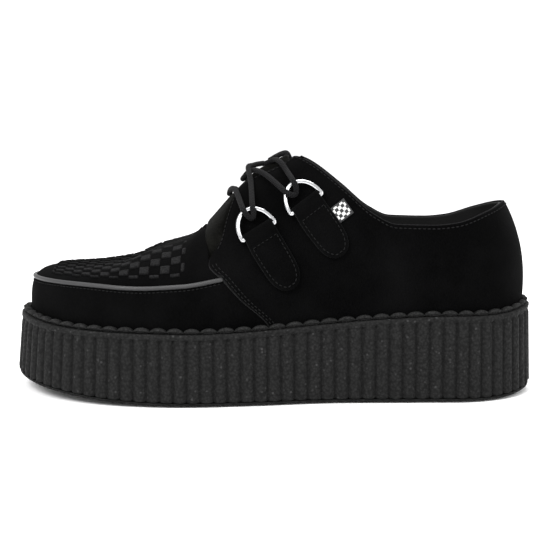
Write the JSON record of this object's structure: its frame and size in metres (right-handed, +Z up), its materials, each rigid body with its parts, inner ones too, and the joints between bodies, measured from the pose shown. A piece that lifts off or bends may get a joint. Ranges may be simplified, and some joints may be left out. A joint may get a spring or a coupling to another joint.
{
  "type": "creeper shoe",
  "caption": "Left suede creeper shoe on a thick fluted rubber platform, with ruffled welt, piped interlaced apron, padded tongue and a round lace through paired metal D-rings.",
  "frame": {"origin": "centre of the bounding box, on the floor under the shoe", "axes": "+Z up, toe towards -X, heel towards +X, outer side towards -Y"},
  "size_m": [0.29, 0.1058, 0.135],
  "materials": {
    "outsole_rubber": "matte",
    "platform_rubber": "matte crepe",
    "welt_rubber": "satin",
    "upper_suede": "matte nap",
    "insole_leather": "smooth",
    "tongue_suede": "matte nap",
    "piping_leather": "smooth",
    "ring_chrome": "polished",
    "tag_fabric": "woven",
    "lace_fabric": "braided"
  },
  "bodies": {
    "root": {"outsole": "outsole_rubber", "platform": "platform_rubber", "welt": "welt_rubber", "upper": "upper_suede", "insole": "insole_leather", "tongue": "tongue_suede", "interlace": "upper_suede", "piping": "piping_leather", "tab_outer_front": "upper_suede", "tab_outer_rear": "upper_suede", "tab_inner_front": "upper_suede", "tab_inner_rear": "upper_suede", "ring_outer_front": "ring_chrome", "ring_outer_rear": "ring_chrome", "ring_inner_front": "ring_chrome", "ring_inner_rear": "ring_chrome", "tag": "tag_fabric", "lace_bar": "lace_fabric", "lace_cross": "lace_fabric", "lace_end_outer": "lace_fabric", "lace_end_inner": "lace_fabric"}
  },
  "joints": []
}
